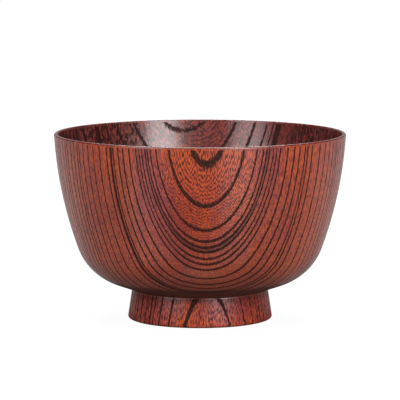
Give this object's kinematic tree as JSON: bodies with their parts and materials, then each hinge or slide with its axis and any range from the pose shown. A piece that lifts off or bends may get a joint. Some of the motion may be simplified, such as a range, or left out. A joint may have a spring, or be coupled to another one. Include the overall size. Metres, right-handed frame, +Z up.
{
  "type": "soup bowl",
  "caption": "Deep round wooden soup bowl with a thin rounded lip, a low round belly and a flared hollow foot ring, in wiped red-brown lacquer that keeps the dark pore lines of the grain.",
  "frame": {"origin": "centre of the foot ring's resting plane, on the turning axis", "axes": "+Z up along the turning axis, -Y towards the side shown in front"},
  "size_m": [0.115, 0.115, 0.0734],
  "materials": {
    "lacquered_wood": "satin wiped lacquer over open grain"
  },
  "bodies": {
    "root": {"bowl": "lacquered_wood"}
  },
  "joints": []
}
